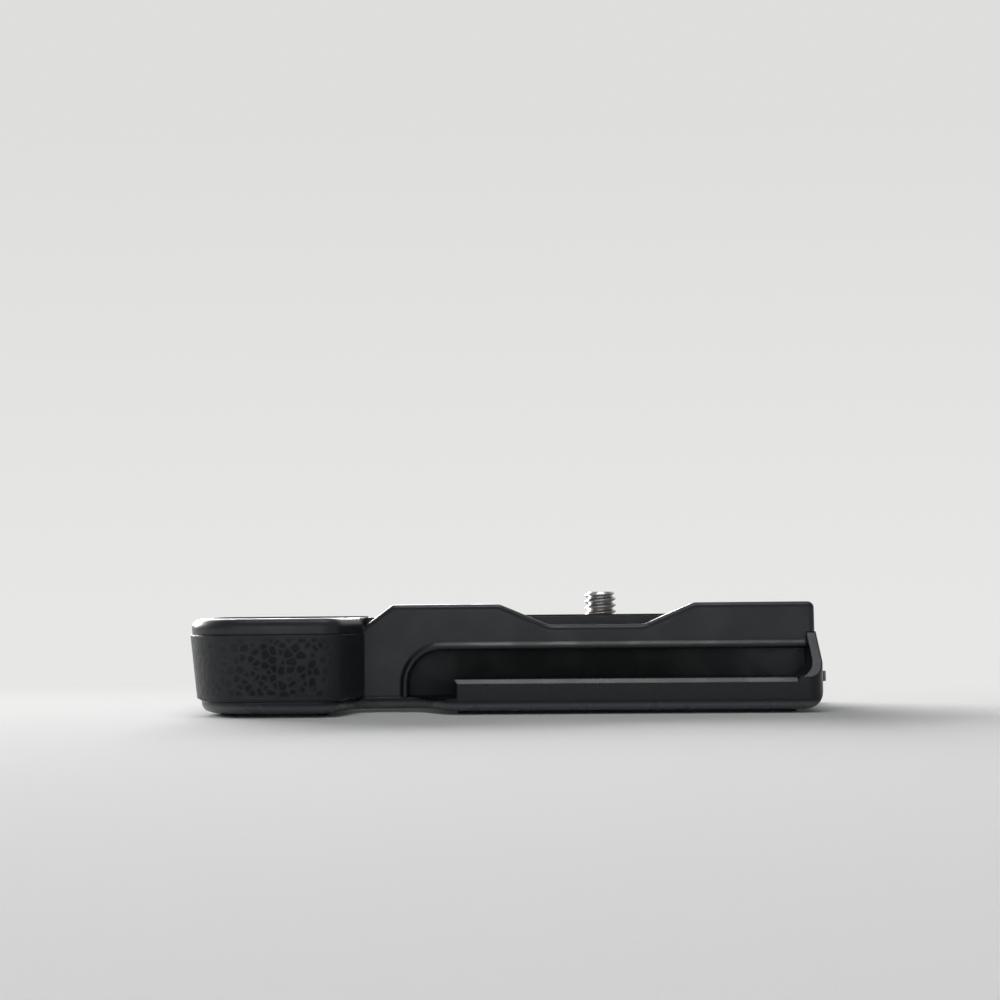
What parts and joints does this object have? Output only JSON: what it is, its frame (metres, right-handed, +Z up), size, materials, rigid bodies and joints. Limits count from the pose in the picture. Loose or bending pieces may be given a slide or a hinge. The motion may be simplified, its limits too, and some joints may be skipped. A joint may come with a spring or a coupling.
{
  "type": "camera grip plate",
  "caption": "Low hollow grip that screws under a compact camera, with a rubber-skinned finger section, a lip with a lens cutout, a finger groove, a thumb-wheel camera screw and a tripod bush.",
  "frame": {"origin": "on the camera screw's axis, at the seat plane where the camera's underside rests", "axes": "+X along the plate to the end with the strap lug, +Y to the back of the camera, +Z up into the camera"},
  "size_m": [0.124, 0.043, 0.0228],
  "materials": {
    "housing_plastic": "fine grained moulded black",
    "base_metal": "satin black anodised",
    "grip_rubber": "moulded leather-like pebble grain",
    "pad_rubber": "smooth matt rubber",
    "foot_rubber": "smooth matt rubber",
    "plated_steel": "zinc plated",
    "spring_steel": "spring steel",
    "bush_steel": "turned stainless steel",
    "screw_steel": "turned stainless steel",
    "lug_steel": "black plated steel",
    "bearing_brass": "turned brass",
    "black_screws": "black oxide",
    "wheel_metal": "black anodised, ridged rim"
  },
  "bodies": {
    "grip_body": {"upper_shell": "housing_plastic", "base_plate": "base_metal", "grip_skin": "grip_rubber", "seat_pad": "pad_rubber", "grip_seat_pad": "pad_rubber", "left_lip_pad": "pad_rubber", "right_lip_pad": "pad_rubber", "chassis_plate": "plated_steel", "chassis_screws": "plated_steel", "screw_bush": "bearing_brass", "wave_washer": "spring_steel", "thrust_washer": "bearing_brass", "tripod_bush": "bush_steel", "bush_screws": "black_screws", "cover_screws": "black_screws", "brass_inserts": "bearing_brass", "locating_dowels": "plated_steel", "strap_lug": "lug_steel", "lug_screws": "plated_steel", "grip_foot_pad": "foot_rubber", "front_foot_strip": "foot_rubber", "rear_foot_strip": "foot_rubber"},
    "camera_screw_body": {"camera_stud": "screw_steel", "thumb_wheel": "wheel_metal", "drive_pins": "spring_steel", "retaining_ring": "spring_steel"}
  },
  "joints": [
    {"name": "camera_screw_turn", "type": "hinge", "parent": "grip_body", "child": "camera_screw_body", "pos_m": [0, 0, 0], "axis": [0, 0, 1], "continuous": true}
  ]
}
